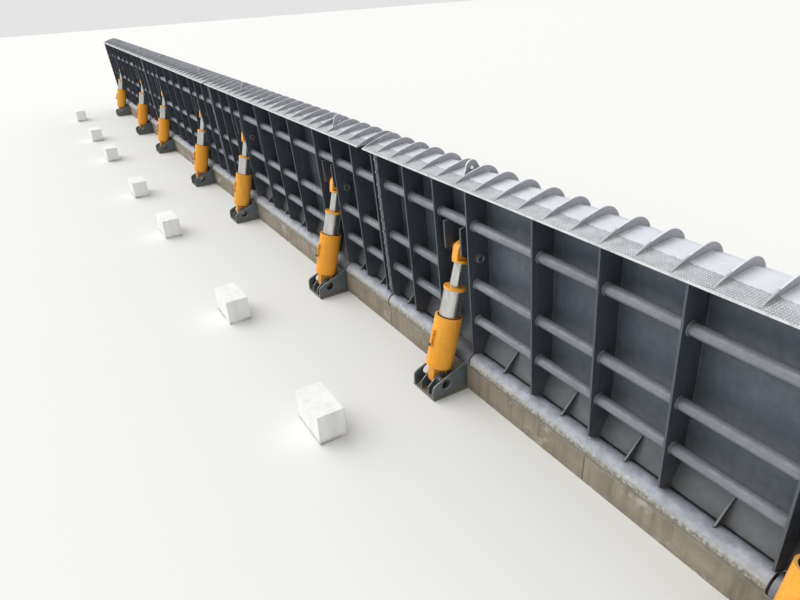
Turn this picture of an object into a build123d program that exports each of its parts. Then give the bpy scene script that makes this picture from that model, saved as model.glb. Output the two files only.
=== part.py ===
from build123d import *
import math
import os

# Bottom-hinged hydraulic dam gate: a row of steel leaves on a concrete kerb,
# each leaf pushed up by two telescopic cylinders that stand on the floor downstream.
# X runs along the gate, Y points upstream, Z points up, in millimetres.
# Y = 0 is under the hinge axis and Z = 0 is the floor.
# A leaf is drawn upright over its hinge axis and then leaned downstream.

# Row
leaf_count = 4
leaf_pitch = 6000.0
leaf_gap = 30.0
leaf_lean = 3.8
lowered_angle = 84.0

# Hinge
hinge_height = 325.0
tube_radius = 91.0
tube_clearance = 6.0
tube_plug = 60.0
shaft_radius = 50.0
shaft_play = 0.05
knuckle_length = 444.0
knuckle_gap = 18.0
shaft_end_gap = 5.0
saddle_inset = 20.0
hinge_clearance = 6.0
weld_gap = 0.3

# Leaf section, measured from the hinge axis: along the leaf and across it, upstream positive
rib_front = -48.0
skin_front = 178.0
skin_thickness = 12.0
skin_bend = 260.0
skin_foot_across = 76.0
skin_foot_along = 74.0
rib_toe_along = 128.0
rib_seat_across = 0.0

# Ribs, from the middle of the leaf
rib_thickness = 16.0
rib_middle_offset = 645.0
rib_end_inset = 55.0
rib_end_bay = 475.0

# Flat bar beside the joint with the next leaf
seam_bar_thickness = 10.0
seam_bar_foot = 170.0

# Stiffening pipes between the ribs
pipe_radius = 46.0
pipe_across = 36.0
pipe_rows = [458.0, 840.0, 1401.0]
gusset_thickness = 12.0
gusset_top_along = 278.0
gusset_toe_across = -16.0

# Crest deck and its fins
deck_front_along = 1752.0
deck_front_across = -58.0
ridge_rise = 15.0
ridge_across = 325.0
lip_drop = 46.0
lip_across = 438.0
deck_thickness = 16.0
deck_gap = 110.0
deck_shift = 282.0
deck_under_clearance = 21.0
nose_depth = 321.0
nose_thickness = 10.0
fin_pitch = 267.0
fin_thickness = 12.0
fin_toe_inset = 14.0
fin_height = 66.0
fin_top_inset = 172.0
fin_rise_swell = 11.0
fin_fall_swell = 36.0
eye_plate_thickness = 16.0
eye_plate_across = 214.0
eye_plate_foot = 184.0
eye_plate_radius = 64.0
eye_plate_height = 122.0
eye_hole_radius = 18.0

# Cylinders
cylinder_offset = 1700.0
lug_bay = 490.0
base_pin_across = -315.0
base_pin_height = 135.0
top_pin_along = 1082.0
top_pin_across = 73.5
barrel_radius = 132.5
barrel_wall = 20.0
barrel_start = 135.0
barrel_end = 655.0
barrel_cap = 40.0
port_heights = [365.0, 495.0]
port_radius = 20.0
port_stand = 28.0
port_pipe_radius = 9.0
port_pipe_stand = 15.0
gland_recess = 55.0
slide_play = 0.3
stage_radius = 100.0
stage_wall = 14.0
stage_top = 950.0
stage_length = 450.0
gland_radius = 107.0
gland_thickness = 24.0
stage_travel = 300.0
rod_radius = 55.0
rod_inside = 390.0
collar_drop = 97.0
collar_radius = 79.0
collar_thickness = 25.0
eye_radius = 83.0
eye_thickness = 80.0
base_eye_radius = 72.0
base_eye_thickness = 90.0
base_eye_spread = 90.0
base_pin_radius = 40.0
pin_play = 0.05

# Lugs that hold the top pin
lug_spacing = 246.0
lug_thickness = 20.0
lug_front_across = -33.0
lug_front_foot = 1087.0
lug_back_foot = 966.0
lug_corner = 20.0
top_pin_radius = 35.0
boss_radius = 50.0
boss_stand = 15.0
face_play = 0.5

# Floor brackets
bracket_spacing = 330.0
bracket_plate = 16.0
bracket_rear_height = 315.0
bracket_front_height = 150.0
bracket_front_across = -470.0
bracket_base = 16.0
cheek_thickness = 12.0
cheek_radius = 68.0
cheek_play = 10.0
cheek_front_inset = 15.0
cheek_front_height = 95.0
bracket_corner = 60.0
bracket_base_length = 370.0
anchor_spacing_x = 220.0
anchor_spacing_y = 220.0
anchor_middle_across = -320.0
anchor_hole_radius = 13.0
access_radius = 52.0
base_pin_length = 200.0

# Kerb and rest blocks
kerb_front = -65.0
kerb_back = 450.0
kerb_height = 250.0
kerb_overrun = 250.0
kerb_joint_width = 12.0
kerb_joint_depth = 6.0
block_length = 490.0
block_width = 260.0
block_height = 300.0
block_middle_across = -1515.0
block_shift = -110.0

# Values worked out from the sizes above
ridge_along = deck_front_along + ridge_rise
lip_along = ridge_along - lip_drop
nose_foot_along = lip_along - nose_depth
row_length = leaf_count * leaf_pitch
leaf_length = leaf_pitch - leaf_gap
deck_length = leaf_pitch - deck_gap
skin_back = skin_front + skin_thickness
rib_near_offset = cylinder_offset - lug_bay / 2
rib_far_offset = cylinder_offset + lug_bay / 2
rib_end_offset = leaf_length / 2 - rib_end_inset
rib_outer_offset = rib_end_offset - rib_end_bay
half_ribs = [rib_middle_offset, rib_near_offset, rib_far_offset, rib_outer_offset, rib_end_offset]
rib_offsets = [-x for x in reversed(half_ribs)] + [0.0] + half_ribs
leaf_middles = [leaf_pitch * (i - (leaf_count - 1) / 2) for i in range(leaf_count)]
cylinder_middles = [m + side * cylinder_offset for m in leaf_middles for side in (-1, 1)]
# Above the lap the right end of a leaf stays below the overhanging deck of the next one
lap_start = leaf_pitch / 2 - deck_shift + deck_gap / 2 - leaf_gap
lapped_top = deck_front_along - deck_thickness - deck_under_clearance

lean = math.radians(leaf_lean)
top_pin_y = top_pin_across * math.cos(lean) - top_pin_along * math.sin(lean)
top_pin_z = hinge_height + top_pin_along * math.cos(lean) + top_pin_across * math.sin(lean)
reach_y = top_pin_y - base_pin_across
reach_z = top_pin_z - base_pin_height
cylinder_reach = math.hypot(reach_y, reach_z)
cylinder_lean = math.degrees(math.atan2(reach_y, reach_z))

lowered = lean + math.radians(lowered_angle)
low_pin_y = top_pin_across * math.cos(lowered) - top_pin_along * math.sin(lowered)
low_pin_z = hinge_height + top_pin_along * math.cos(lowered) + top_pin_across * math.sin(lowered)
low_reach_y = low_pin_y - base_pin_across
low_reach_z = low_pin_z - base_pin_height
lowered_reach = math.hypot(low_reach_y, low_reach_z)
cylinder_swing = cylinder_lean - math.degrees(math.atan2(low_reach_y, low_reach_z))
rod_travel = cylinder_reach - lowered_reach - stage_travel


def deck_top(across):
    """Height along the leaf of the deck's top face."""
    if across < ridge_across:
        rise = (ridge_along - deck_front_along) / (ridge_across - deck_front_across)
        return deck_front_along + rise * (across - deck_front_across)
    drop = (lip_along - ridge_along) / (lip_across - ridge_across)
    return ridge_along + drop * (across - ridge_across)


def plate(points, thickness, x):
    """A plate across the gate, centred on x, from (across, along) points."""
    face = make_face(Plane.YZ * Polyline(*points, close=True))
    return Pos(x - thickness / 2, 0, 0) * extrude(face, amount=thickness, dir=(1, 0, 0))


def bar(radius, length, x, across, along):
    """A round bar along X, centred on x."""
    return Pos(x, across, along) * Rot(0, 90, 0) * Cylinder(radius, length)


def strip(start, end, thickness):
    """The four corners of a straight strip, thick on the right of its run."""
    run_y = end[0] - start[0]
    run_z = end[1] - start[1]
    length = math.hypot(run_y, run_z)
    off_y = thickness * run_z / length
    off_z = -thickness * run_y / length
    return [start, end, (end[0] + off_y, end[1] + off_z), (start[0] + off_y, start[1] + off_z)]


def lean_leaf(shape, middle):
    """Put a piece drawn on an upright leaf where it stands in the row."""
    return Pos(middle, 0, hinge_height) * Rot(leaf_lean, 0, 0) * shape


def skin_line(along):
    """Where the face of the bent foot of the skin stands across the leaf."""
    slope = (skin_front - skin_foot_across) / (skin_bend - skin_foot_along)
    return skin_foot_across + slope * (along - skin_foot_along)


top_pin_place = (top_pin_across, top_pin_along)
hinge_bores = [side * cylinder_offset for side in (-1, 1)]
lug_top_along = pipe_rows[-1] - pipe_radius - weld_gap


# Skin plate, bent at its foot towards the hinge tube and cut away round the knuckles
def make_skin():
    skin = skin_strip(-leaf_length / 2, lap_start, deck_top(skin_front) - deck_thickness)
    end_skin = skin_strip(lap_start + weld_gap, leaf_length / 2, lapped_top)
    return Compound(children=flatten([skin, end_skin]))


def skin_strip(start, end, top):
    run_y = skin_front - skin_foot_across
    run_z = skin_bend - skin_foot_along
    length = math.hypot(run_y, run_z)
    back_foot = (skin_foot_across + skin_thickness * run_z / length, skin_foot_along - skin_thickness * run_y / length)
    reach = skin_thickness * 2 / length
    deep_foot = (back_foot[0] - run_y * reach, back_foot[1] - run_z * reach)
    back_bend = skin_bend - skin_thickness * run_y / (length + run_z)
    front = [(skin_foot_across, skin_foot_along), (skin_front, skin_bend), (skin_front, top)]
    back = [(skin_back, top), (skin_back, back_bend), back_foot, deep_foot]
    body = plate(front + back, end - start, (start + end) / 2)
    body -= bar(tube_radius + weld_gap, leaf_length + 2, 0, 0, 0)
    for x in hinge_bores:
        body -= bar(tube_radius + hinge_clearance, knuckle_length + 2 * knuckle_gap, x, 0, 0)
    return body


# Ribs that stand on the hinge tube, foot gussets, lugs and the fixed ends of the top pins
def make_ribs():
    round_tube = bar(tube_radius + weld_gap, leaf_length + 2, 0, 0, 0)
    rib = make_rib(deck_top(rib_front) - deck_thickness, deck_top(skin_front) - deck_thickness) - round_tube
    ribs = [Pos(x, 0, 0) * rib for x in rib_offsets]
    ribs[-1] = Pos(rib_end_offset, 0, 0) * (make_rib(lapped_top, lapped_top) - round_tube)
    ribs[0] += make_seam_bar()
    lugs = []
    for x in hinge_bores:
        for outward in (-1, 1):
            index = rib_offsets.index(x + outward * lug_bay / 2)
            ribs[index] -= bar(top_pin_radius + weld_gap, 2 * rib_thickness, rib_offsets[index], *top_pin_place)
            lugs.append(make_lug(x, outward))
    gussets = [Pos(x, 0, 0) * make_gusset() - round_tube for x in gusset_places()]
    return Compound(children=flatten(ribs + lugs + gussets))


def make_rib(front_top, back_top):
    outline = [
        (rib_seat_across, tube_radius / 2),
        (rib_seat_across, tube_radius + rib_thickness / 4),
        (rib_front, rib_toe_along),
        (rib_front, front_top),
        (skin_front, back_top),
        (skin_front, skin_bend),
        (skin_foot_across, skin_foot_along),
        (skin_line(tube_radius / 2), tube_radius / 2),
    ]
    return plate(outline, rib_thickness, 0)


def flatten(shapes):
    """All the solids of a list of shapes, one by one."""
    return [solid for shape in shapes for solid in shape.solids()]


def gusset_places():
    """The middle of each bay that holds pipes."""
    places = []
    for left, right in zip(rib_offsets, rib_offsets[1:]):
        if abs(right - left - lug_bay) > 1:
            places.append((left + right) / 2)
    return places


def make_seam_bar():
    start = -leaf_length / 2
    end = -rib_end_offset + rib_thickness / 2
    front = rib_front - seam_bar_thickness
    top = deck_front_along - deck_thickness - weld_gap
    outline = [(front, seam_bar_foot), (front, top), (rib_front, top), (rib_front, seam_bar_foot)]
    return plate(outline, end - start, (start + end) / 2)


def make_gusset():
    outline = [
        (gusset_toe_across, tube_radius / 2),
        (gusset_toe_across, math.sqrt(tube_radius ** 2 - gusset_toe_across ** 2) + rib_thickness / 2),
        (skin_front, gusset_top_along),
        (skin_front, skin_bend),
        (skin_foot_across, skin_foot_along),
        (skin_line(tube_radius / 2), tube_radius / 2),
    ]
    return plate(outline, gusset_thickness, 0)


# One lug plate with the shaft that goes through the rib on that side of the bay
def make_lug(middle, outward):
    lug_x = middle + outward * lug_spacing / 2
    rib_x = middle + outward * lug_bay / 2
    front_foot = (lug_front_across, lug_front_foot)
    corners = [front_foot, (lug_front_across, lug_top_along), (skin_front, lug_top_along), (skin_front, lug_back_foot)]
    face = make_face(Polyline(*corners, close=True))
    face = fillet(face.vertices().sort_by_distance(Vector(*front_foot, 0))[0], lug_corner)
    body = Pos(lug_x - lug_thickness / 2, 0, 0) * extrude(Plane.YZ * face, amount=lug_thickness, dir=(1, 0, 0))
    pin_start = lug_x - outward * lug_thickness / 2
    pin_end = rib_x + outward * (rib_thickness / 2 + boss_stand)
    pin_length = abs(pin_end - pin_start)
    body += bar(top_pin_radius, pin_length, (pin_start + pin_end) / 2, *top_pin_place)
    boss_x = pin_end - outward * (boss_stand - weld_gap) / 2
    body += bar(boss_radius, boss_stand - weld_gap, boss_x, *top_pin_place)
    return body


# Round stiffening pipes between the ribs, in the bays of the cylinders only the top one
def make_pipes():
    pipes = []
    for left, right in zip(rib_offsets, rib_offsets[1:]):
        length = right - left - rib_thickness
        rows = pipe_rows[-1:] if abs(right - left - lug_bay) <= 1 else pipe_rows
        for along in rows:
            pipes.append(bar(pipe_radius, length, (left + right) / 2, pipe_across, along))
    return Compound(children=flatten(pipes))


# Crest deck with its fins, the lifting eyes over the cylinders and the nose under the lip
def make_crest():
    ridge_back = (ridge_across - deck_thickness / 2, ridge_along - deck_thickness)
    lip_back = (lip_across - deck_thickness, lip_along - deck_thickness * 0.4)
    front_back = (deck_front_across, deck_front_along - deck_thickness)
    front = (deck_front_across, deck_front_along)
    outline = [front, (ridge_across, ridge_along), (lip_across, lip_along), lip_back, ridge_back, front_back]
    body = plate(outline, deck_length, -deck_shift)
    fin = make_fin()
    fin_steps = round((deck_length - fin_thickness) / fin_pitch)
    first = -deck_shift - (deck_length - fin_thickness) / 2
    for i in range(fin_steps + 1):
        body += Pos(first + i * (deck_length - fin_thickness) / fin_steps, 0, 0) * fin
    for x in hinge_bores:
        body += Pos(x, 0, 0) * make_lifting_eye()
    nose = make_nose(-leaf_length / 2, deck_length / 2 - deck_shift - fin_thickness)
    return Compound(children=flatten([body, nose]))


def make_fin():
    toe = (deck_front_across + fin_toe_inset, deck_top(deck_front_across + fin_toe_inset))
    top = (lip_across - fin_top_inset, ridge_along + fin_height)
    heel = (lip_across, lip_along)
    rise = ThreePointArc(toe, swollen(toe, top, fin_rise_swell), top)
    fall = ThreePointArc(top, swollen(top, heel, fin_fall_swell), heel)
    base = Polyline(heel, (ridge_across, ridge_along - deck_thickness / 4), toe)
    face = make_face(Plane.YZ * (Curve() + [rise, fall, base]))
    return Pos(-fin_thickness / 2, 0, 0) * extrude(face, amount=fin_thickness, dir=(1, 0, 0))


def swollen(start, end, swell):
    """The middle of an arc that stands off its chord, on the left of its run."""
    run_y = end[0] - start[0]
    run_z = end[1] - start[1]
    length = math.hypot(run_y, run_z)
    return ((start[0] + end[0]) / 2 - swell * run_z / length, (start[1] + end[1]) / 2 + swell * run_y / length)


def make_lifting_eye():
    middle = deck_top(eye_plate_across) + eye_plate_height - eye_plate_radius
    low = deck_top(eye_plate_across) - deck_thickness / 2
    foot = [
        (eye_plate_across - eye_plate_foot / 2, low),
        (eye_plate_across - eye_plate_radius, middle),
        (eye_plate_across + eye_plate_radius, middle),
        (eye_plate_across + eye_plate_foot / 2, low),
    ]
    body = plate(foot, eye_plate_thickness, 0)
    body += bar(eye_plate_radius, eye_plate_thickness, 0, eye_plate_across, middle)
    return body - bar(eye_hole_radius, eye_plate_thickness + 2, 0, eye_plate_across, middle)


# Sloping plate under the lip with a three-cornered plate at each end and in the middle
def make_nose(start, end):
    low = (skin_back + weld_gap, nose_foot_along)
    high = (lip_across - deck_thickness, lip_along - nose_thickness)
    corner = (skin_back + weld_gap, deck_top(skin_back) - deck_thickness - weld_gap)
    ridge = (ridge_across - deck_thickness / 2, ridge_along - deck_thickness - weld_gap)
    body = plate(strip(high, low, nose_thickness), end - start, (start + end) / 2)
    behind = Box(end - start + 2, 100, 100)
    body -= Pos((start + end) / 2, skin_back + weld_gap - 50, nose_foot_along) * behind
    for x in (start + rib_thickness / 2, (start + end) / 2, end - rib_thickness / 2):
        body += plate([low, corner, ridge, high], rib_thickness, x)
    return body


# Hinge tubes of a leaf, bushed at their ends on the shafts of the knuckles
def tube_spans():
    inner = cylinder_offset - knuckle_length / 2 - knuckle_gap
    outer = cylinder_offset + knuckle_length / 2 + knuckle_gap
    end = leaf_length / 2
    return [(-end, -outer), (-inner, inner), (outer, end)]


def make_tube(start, end):
    tube = bar(tube_radius, end - start, (start + end) / 2, 0, 0)
    bush = bar(shaft_radius + shaft_play, tube_plug, 0, 0, 0)
    if start > -leaf_length / 2:
        tube -= Pos(start + tube_plug / 2, 0, 0) * bush
    if end < leaf_length / 2:
        tube -= Pos(end - tube_plug / 2, 0, 0) * bush
    return tube


def make_hinge_tubes():
    return Compound(children=flatten([make_tube(*span) for span in tube_spans()]))


# Fixed knuckles between the hinge tubes, each with a stub shaft at both ends and a saddle in the kerb's groove
def make_knuckles():
    knuckles = []
    for x in cylinder_middles:
        body = bar(tube_radius, knuckle_length, x, 0, hinge_height)
        shaft_length = knuckle_length + 2 * (knuckle_gap + tube_plug - shaft_end_gap)
        body += bar(shaft_radius, shaft_length, x, 0, hinge_height)
        saddle = bar(tube_radius + tube_clearance - weld_gap, knuckle_length - 2 * saddle_inset, x, 0, hinge_height)
        room = Box(knuckle_length, 4 * tube_radius, 4 * tube_radius)
        body += saddle - Pos(x, 0, kerb_height + 2 * tube_radius) * room
        knuckles.append(body)
    return Compound(children=flatten(knuckles))


# Floor brackets that hold the feet of the cylinders
def make_bracket(x):
    corner = (bracket_front_across, bracket_front_height)
    outline = Polyline((kerb_front, 0), (kerb_front, bracket_rear_height), corner, (bracket_front_across, 0), close=True)
    face = make_face(outline)
    face = fillet(face.vertices().sort_by_distance(Vector(*corner, 0))[0], bracket_corner)
    side_plate = Pos(-bracket_plate / 2, 0, 0) * extrude(Plane.YZ * face, amount=bracket_plate, dir=(1, 0, 0))
    access = bar(access_radius, bracket_plate + 2, 0, base_pin_across, base_pin_height)
    depth = kerb_front - bracket_front_across
    base = Box(bracket_base_length, depth, bracket_base)
    body = Pos(x, (kerb_front + bracket_front_across) / 2, bracket_base / 2) * base
    for side_x in (-1, 1):
        for side_y in (-1, 1):
            hole_x = x + side_x * anchor_spacing_x / 2
            hole_y = anchor_middle_across + side_y * anchor_spacing_y / 2
            body -= Pos(hole_x, hole_y, bracket_base / 2) * Cylinder(anchor_hole_radius, bracket_base + 2)
    cheek_offset = base_eye_thickness / 2 + cheek_play + cheek_thickness / 2
    for side in (-1, 1):
        body += Pos(x + side * bracket_spacing / 2, 0, 0) * (side_plate - access)
        cheek_x = x + side * cheek_offset
        cheek = bar(cheek_radius, cheek_thickness, cheek_x, base_pin_across, base_pin_height)
        web = [
            (bracket_front_across + cheek_front_inset, bracket_base / 2),
            (bracket_front_across + cheek_front_inset, cheek_front_height),
            (base_pin_across - cheek_radius / 2, base_pin_height + cheek_radius * 0.86),
            (base_pin_across + cheek_radius, base_pin_height),
            (base_pin_across + cheek_radius, bracket_base / 2),
        ]
        body += cheek + plate(web, cheek_thickness, cheek_x)
    body -= bar(tube_radius + weld_gap, bracket_base_length, x, 0, hinge_height)
    body -= bar(base_pin_radius + pin_play, base_pin_length, x, base_pin_across, base_pin_height)
    return body


def make_base_pin(x):
    return bar(base_pin_radius, base_pin_length, x, base_pin_across, base_pin_height)


# Cylinder pieces, drawn upright from the base pin and leaned to the top pin
def place_cylinder(shape, x):
    return Pos(x, base_pin_across, base_pin_height) * Rot(-cylinder_lean, 0, 0) * shape


def turned(profile):
    """A body of revolution about the cylinder's own axis from (radius, height) points."""
    return revolve(make_face(Plane.XZ * Polyline(*profile, close=True)), Axis.Z)


def make_barrel():
    inside = barrel_radius - barrel_wall
    guide = stage_radius + slide_play
    tube = turned(
        [
            (0, barrel_start),
            (barrel_radius, barrel_start),
            (barrel_radius, barrel_end),
            (inside, barrel_end),
            (inside, barrel_end - gland_recess),
            (guide, barrel_end - gland_recess),
            (guide, barrel_start + barrel_cap),
            (0, barrel_start + barrel_cap),
        ]
    )
    for height in port_heights:
        port = Cylinder(port_radius, barrel_wall + port_stand)
        tube += Pos(0, -barrel_radius - (port_stand - barrel_wall) / 2, height) * Rot(90, 0, 0) * port
    pipe_length = port_heights[-1] - port_heights[0]
    pipe_middle = (port_heights[-1] + port_heights[0]) / 2
    tube += Pos(0, -barrel_radius - port_pipe_stand, pipe_middle) * Cylinder(port_pipe_radius, pipe_length)
    eye = bar(base_eye_radius, base_eye_thickness, 0, 0, 0)
    eye += plate(
        [
            (-base_eye_radius, 0),
            (-base_eye_spread, barrel_start + 1),
            (base_eye_spread, barrel_start + 1),
            (base_eye_radius, 0),
        ],
        base_eye_thickness,
        0,
    )
    return tube + eye - bar(base_pin_radius + pin_play, base_eye_thickness + 2, 0, 0, 0)


def make_stage():
    bore = rod_radius + slide_play
    gland_bottom = stage_top - gland_thickness
    bottom = stage_top - stage_length
    return turned(
        [
            (bore, stage_top),
            (gland_radius, stage_top),
            (gland_radius, gland_bottom),
            (stage_radius, gland_bottom),
            (stage_radius, bottom),
            (0, bottom),
            (0, bottom + stage_wall),
            (bore, bottom + stage_wall),
        ]
    )


def make_rod():
    collar_top = cylinder_reach - collar_drop
    collar_bottom = collar_top - collar_thickness
    body = turned(
        [
            (0, collar_bottom - rod_inside),
            (rod_radius, collar_bottom - rod_inside),
            (rod_radius, collar_bottom),
            (collar_radius, collar_bottom),
            (collar_radius, collar_top),
            (0, collar_top),
        ]
    )
    body += bar(eye_radius, eye_thickness, 0, 0, cylinder_reach)
    body += plate(
        [
            (-collar_radius * 0.95, collar_top - 1),
            (-eye_radius, cylinder_reach),
            (eye_radius, cylinder_reach),
            (collar_radius * 0.95, collar_top - 1),
        ],
        eye_thickness,
        0,
    )
    pin_length = lug_spacing - lug_thickness - 2 * face_play
    body += bar(top_pin_radius, pin_length, 0, 0, cylinder_reach)
    return body


# Concrete kerb with a groove for the hinge tubes and vertical joints in its face
def make_kerb():
    length = row_length + 2 * kerb_overrun
    depth = kerb_back - kerb_front
    body = Pos(0, (kerb_front + kerb_back) / 2, kerb_height / 2) * Box(length, depth, kerb_height)
    body -= bar(tube_radius + tube_clearance, length + 2, 0, 0, hinge_height)
    joint_count = 2 * leaf_count - 1
    for i in range(joint_count):
        x = (i + 1) * leaf_pitch / 2 - row_length / 2
        joint = Box(kerb_joint_width, 2 * kerb_joint_depth, kerb_height + 2)
        body -= Pos(x, kerb_front, kerb_height / 2) * joint
    return body


# Blocks that a lowered leaf lies over
def make_blocks():
    blocks = []
    for x in cylinder_middles:
        block = Box(block_length, block_width, block_height)
        place = Pos(x + block_shift, block_middle_across, block_height / 2)
        blocks.append(place * block)
    return Compound(children=flatten(blocks))


def save(shape, name):
    export_step(shape, "parts/" + name + ".step")


def main():
    os.makedirs("parts", exist_ok=True)
    save(make_kerb(), "kerb")
    save(make_knuckles(), "hinge_knuckles")
    save(Compound(children=flatten([make_bracket(x) for x in cylinder_middles])), "floor_brackets")
    save(Compound(children=flatten([make_base_pin(x) for x in cylinder_middles])), "base_pins")
    save(make_blocks(), "rest_blocks")
    leaf_pieces = {
        "skin": make_skin(),
        "ribs": make_ribs(),
        "pipes": make_pipes(),
        "crest": make_crest(),
        "hinge_tubes": make_hinge_tubes(),
    }
    for number, middle in enumerate(leaf_middles, start=1):
        for piece, shape in leaf_pieces.items():
            save(lean_leaf(shape, middle), "leaf_%d_%s" % (number, piece))
    cylinder_pieces = {"barrel": make_barrel(), "stage": make_stage(), "rod": make_rod()}
    for number, x in enumerate(cylinder_middles, start=1):
        for piece, shape in cylinder_pieces.items():
            save(place_cylinder(shape, x), "cylinder_%d_%s" % (number, piece))


main()
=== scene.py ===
import bmesh
import bpy
import math
from mathutils import Matrix, Vector


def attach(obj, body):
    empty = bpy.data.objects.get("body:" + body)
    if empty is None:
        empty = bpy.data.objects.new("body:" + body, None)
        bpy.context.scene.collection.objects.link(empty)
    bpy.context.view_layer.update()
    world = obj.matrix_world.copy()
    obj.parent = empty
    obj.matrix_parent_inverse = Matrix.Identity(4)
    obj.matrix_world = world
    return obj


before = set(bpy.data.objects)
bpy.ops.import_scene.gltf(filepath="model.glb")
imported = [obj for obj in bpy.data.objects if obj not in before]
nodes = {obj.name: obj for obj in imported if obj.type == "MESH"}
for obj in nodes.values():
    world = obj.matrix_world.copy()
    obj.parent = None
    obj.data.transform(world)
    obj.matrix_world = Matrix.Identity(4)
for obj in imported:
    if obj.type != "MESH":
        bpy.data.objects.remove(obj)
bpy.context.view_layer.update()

# the CAD's own sizes in metres, as far as the materials and the added pieces need them; the last
# two are directions in the raised gate, across a leaf towards upstream and up along a cylinder
gate = {
    "leafMiddles": (-9.0, -3.0, 3.0, 9.0),
    "lean": 3.8,
    "hingeHeight": 0.325,
    "leafHalf": 2.985,
    "ribs": (-2.93, -2.455, -1.945, -1.455, -0.645, 0.0, 0.645, 1.455, 1.945, 2.455, 2.93),
    "ribHalf": 0.008,
    "gussetHalf": 0.006,
    "skinFront": 0.178,
    "skinBend": 0.260,
    "skinFoot": (0.0705, 0.064),
    "tubeRadius": 0.091,
    "deckUnder": 1.742,
    "deckFront": (-0.058, 1.752),
    "deckRidge": (0.325, 1.767),
    "deckMiddle": -0.282,
    "deckLength": 5.89,
    "pipeRows": (0.458, 0.840, 1.401),
    "pipeAcross": 0.036,
    "cylinderOffset": 1.7,
    "lugHalfBay": 0.245,
    "topPin": (0.0735, 1.082),
    "basePin": (-0.315, 0.135),
    "cylinderLean": 13.951885,
    "barrelRadius": 0.1325,
    "leafAcross": (0, 0.9978, 0.0663),
    "cylinderAlong": (0, 0.241107, 0.970499),
}
leafNumbers = range(1, len(gate["leafMiddles"]) + 1)
cylinderMiddles = [middle + side * gate["cylinderOffset"] for middle in gate["leafMiddles"] for side in (-1, 1)]
cylinderNumbers = range(1, len(cylinderMiddles) + 1)

print("stage: camera and light")

cameraView = {
    "place": (11.512, -3.095, 3.664),
    "turn": 150.21,
    "pitch": -27.86,
    "roll": -2.93,
    "focalPixels": 619.7,
    "imageWidth": 800,
    "sensorWidth": 36,
    "clipEnd": 200,
}


def placeCamera(values):
    turn, pitch, roll = (math.radians(values[key]) for key in ("turn", "pitch", "roll"))
    ahead = Vector((math.cos(turn) * math.cos(pitch), math.sin(turn) * math.cos(pitch), math.sin(pitch)))
    right = ahead.cross(Vector((0, 0, 1))).normalized()
    up = right.cross(ahead)
    rolledRight = right * math.cos(roll) + up * math.sin(roll)
    rolledUp = up * math.cos(roll) - right * math.sin(roll)
    lens = bpy.data.cameras.new("photoCamera")
    lens.sensor_width = values["sensorWidth"]
    lens.lens = values["focalPixels"] * values["sensorWidth"] / values["imageWidth"]
    lens.clip_end = values["clipEnd"]
    cameraObject = bpy.data.objects.new("photoCamera", lens)
    bpy.context.collection.objects.link(cameraObject)
    axes = Matrix((rolledRight, rolledUp, -ahead)).transposed().to_4x4()
    cameraObject.matrix_world = Matrix.Translation(values["place"]) @ axes
    bpy.context.scene.camera = cameraObject


placeCamera(cameraView)

studio = {
    "floorSize": 120.0,
    "floorColour": (0.80, 0.80, 0.78, 1),
    "floorRoughness": 0.9,
    "skyColour": (1, 1, 1, 1),
    "skyStrength": 0.78,
    "sunStrength": 1.9,
    "sunTilt": (46, 0, -58),
    "sunSoftness": 62,
}


def makeStudio(values):
    world = bpy.data.worlds.new("studio")
    bpy.context.scene.world = world
    world.use_nodes = True
    background = world.node_tree.nodes["Background"]
    background.inputs["Color"].default_value = values["skyColour"]
    background.inputs["Strength"].default_value = values["skyStrength"]
    sun = bpy.data.lights.new("softSun", "SUN")
    sun.energy = values["sunStrength"]
    sun.angle = math.radians(values["sunSoftness"])
    sunObject = bpy.data.objects.new("softSun", sun)
    sunObject.rotation_euler = [math.radians(a) for a in values["sunTilt"]]
    bpy.context.collection.objects.link(sunObject)
    half = values["floorSize"] / 2
    mesh = bpy.data.meshes.new("floor")
    corners = [(-half, -half, 0), (half, -half, 0), (half, half, 0), (-half, half, 0)]
    mesh.from_pydata(corners, [], [(0, 1, 2, 3)])
    floor = bpy.data.objects.new("floor", mesh)
    bpy.context.collection.objects.link(floor)
    paint = bpy.data.materials.new("paleFloor")
    paint.use_nodes = True
    shader = paint.node_tree.nodes["Principled BSDF"]
    shader.inputs["Base Color"].default_value = values["floorColour"]
    shader.inputs["Roughness"].default_value = values["floorRoughness"]
    mesh.materials.append(paint)


makeStudio(studio)
bpy.context.scene.view_settings.view_transform = "Standard"

print("stage: materials")


def addNode(tree, kind, settings=None, **values):
    node = tree.nodes.new(kind)
    for key, value in (settings or {}).items():
        setattr(node, key, value)
    for key, value in values.items():
        socket = node.inputs[int(key[1:])] if key[0] == "i" and key[1:].isdigit() else node.inputs[key]
        if isinstance(value, bpy.types.NodeSocket):
            tree.links.new(value, socket)
        else:
            socket.default_value = value
    return node


def newMaterial(name, metallic=0.0):
    material = bpy.data.materials.new(name)
    material.use_nodes = True
    tree = material.node_tree
    shader = tree.nodes["Principled BSDF"]
    shader.inputs["Metallic"].default_value = metallic
    place = addNode(tree, "ShaderNodeTexCoord").outputs["Object"]
    return material, tree, shader, place


def maths(tree, operation, *values):
    inputs = {"i%d" % index: value for index, value in enumerate(values)}
    return addNode(tree, "ShaderNodeMath", {"operation": operation}, **inputs).outputs[0]


def vectorMaths(tree, operation, *values):
    inputs = {"i%d" % index: value for index, value in enumerate(values)}
    outputs = addNode(tree, "ShaderNodeVectorMath", {"operation": operation}, **inputs).outputs
    return outputs["Value" if operation in ("DOT_PRODUCT", "LENGTH") else "Vector"]


def multiply(tree, first, second):
    return maths(tree, "MULTIPLY", first, second)


# black at low and white at high
def ramp(tree, value, low, high):
    return addNode(tree, "ShaderNodeMapRange", i0=value, i1=low, i2=high).outputs[0]


# low where a mask is black and high where it is white
def between(tree, mask, low, high):
    return addNode(tree, "ShaderNodeMapRange", i0=mask, i3=low, i4=high).outputs[0]


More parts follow.
